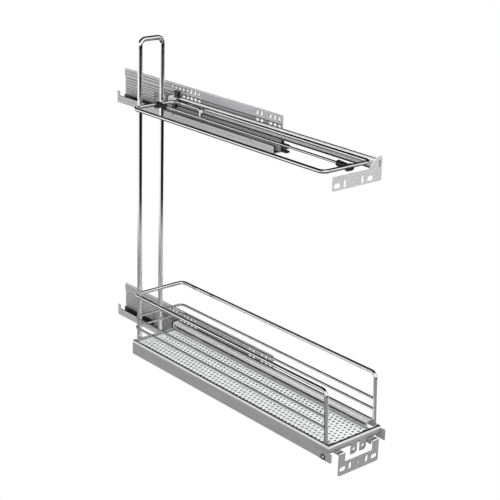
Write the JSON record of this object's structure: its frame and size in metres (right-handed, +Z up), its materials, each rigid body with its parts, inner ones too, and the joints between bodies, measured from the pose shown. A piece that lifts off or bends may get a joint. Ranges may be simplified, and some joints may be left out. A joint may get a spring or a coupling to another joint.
{
  "type": "pull-out tray rack",
  "caption": "Side-mounted pull-out rack with a perforated tray, wire railing, upper wire loop and ball-bearing runners for a narrow base cabinet.",
  "frame": {"origin": "centre of the lower wall profile's four reference screw holes, on the cabinet wall's plane", "axes": "+X into the cabinet wall, +Y to the back of the cabinet, +Z up"},
  "size_m": [0.114, 0.649, 0.555],
  "materials": {
    "zinc_sheet": "satin",
    "rolled_steel": "satin",
    "fastener": "satin",
    "black_plastic": "matt",
    "cage_steel": "satin",
    "ball_steel": "polished",
    "light_painted": "satin",
    "grey_painted": "satin",
    "bright_sheet": "bright",
    "chrome_wire": "polished"
  },
  "bodies": {
    "runners": {"wall_profile_lower": "zinc_sheet", "wall_profile_upper": "zinc_sheet", "race_rail_lower": "rolled_steel", "race_rail_upper": "rolled_steel", "rail_rivets_lower": "fastener", "rail_rivets_upper": "fastener"},
    "lower_middle": {"middle_rail_lower": "rolled_steel", "middle_plugs_lower": "black_plastic"},
    "upper_middle": {"middle_rail_upper": "rolled_steel", "middle_plugs_upper": "black_plastic"},
    "lower_inner_cage": {"inner_cage_lower": "cage_steel", "inner_balls_lower": "ball_steel"},
    "upper_inner_cage": {"inner_cage_upper": "cage_steel", "inner_balls_upper": "ball_steel"},
    "lower_outer_cage": {"outer_cage_lower": "cage_steel", "outer_balls_lower": "ball_steel"},
    "upper_outer_cage": {"outer_cage_upper": "cage_steel", "outer_balls_upper": "ball_steel"},
    "rack": {"moving_profile_lower": "light_painted", "moving_profile_upper": "light_painted", "profile_caps": "black_plastic", "tray_shell": "grey_painted", "perforated_floor": "bright_sheet", "tray_hangers": "grey_painted", "railing_top_wire": "chrome_wire", "railing_upper_wire": "chrome_wire", "railing_lower_wire": "chrome_wire", "upright_hoop": "chrome_wire", "upper_loop": "chrome_wire", "rod_clamp": "black_plastic", "front_carrier": "grey_painted", "carrier_screws": "fastener", "door_bracket_lower": "grey_painted", "door_bracket_upper": "light_painted"},
    "divider": {"divider_rod": "chrome_wire", "divider_clips": "black_plastic"}
  },
  "joints": [
    {"name": "rack_slide", "type": "slide", "parent": "runners", "child": "rack", "axis": [0, -1, 0], "range_m": [-0.198, 0.2]},
    {"name": "lower_middle_slide", "type": "slide", "parent": "runners", "child": "lower_middle", "axis": [0, -1, 0], "range_m": [-0.0995, 0.1005]},
    {"name": "lower_inner_cage_slide", "type": "slide", "parent": "runners", "child": "lower_inner_cage", "axis": [0, -1, 0], "range_m": [-0.05, 0.0505]},
    {"name": "lower_outer_cage_slide", "type": "slide", "parent": "runners", "child": "lower_outer_cage", "axis": [0, -1, 0], "range_m": [-0.149, 0.1505]},
    {"name": "upper_middle_slide", "type": "slide", "parent": "runners", "child": "upper_middle", "axis": [0, -1, 0], "range_m": [-0.0995, 0.1005]},
    {"name": "upper_inner_cage_slide", "type": "slide", "parent": "runners", "child": "upper_inner_cage", "axis": [0, -1, 0], "range_m": [-0.05, 0.0505]},
    {"name": "upper_outer_cage_slide", "type": "slide", "parent": "runners", "child": "upper_outer_cage", "axis": [0, -1, 0], "range_m": [-0.149, 0.1505]},
    {"name": "divider_slide", "type": "slide", "parent": "rack", "child": "divider", "axis": [1, 0, 0], "range_m": [-0.02, 0.006]}
  ],
  "couplings": [
    {"joint": "lower_middle_slide", "follows": "rack_slide", "ratio": 0.5},
    {"joint": "lower_inner_cage_slide", "follows": "rack_slide", "ratio": 0.25},
    {"joint": "lower_outer_cage_slide", "follows": "rack_slide", "ratio": 0.75},
    {"joint": "upper_middle_slide", "follows": "rack_slide", "ratio": 0.5},
    {"joint": "upper_inner_cage_slide", "follows": "rack_slide", "ratio": 0.25},
    {"joint": "upper_outer_cage_slide", "follows": "rack_slide", "ratio": 0.75}
  ]
}
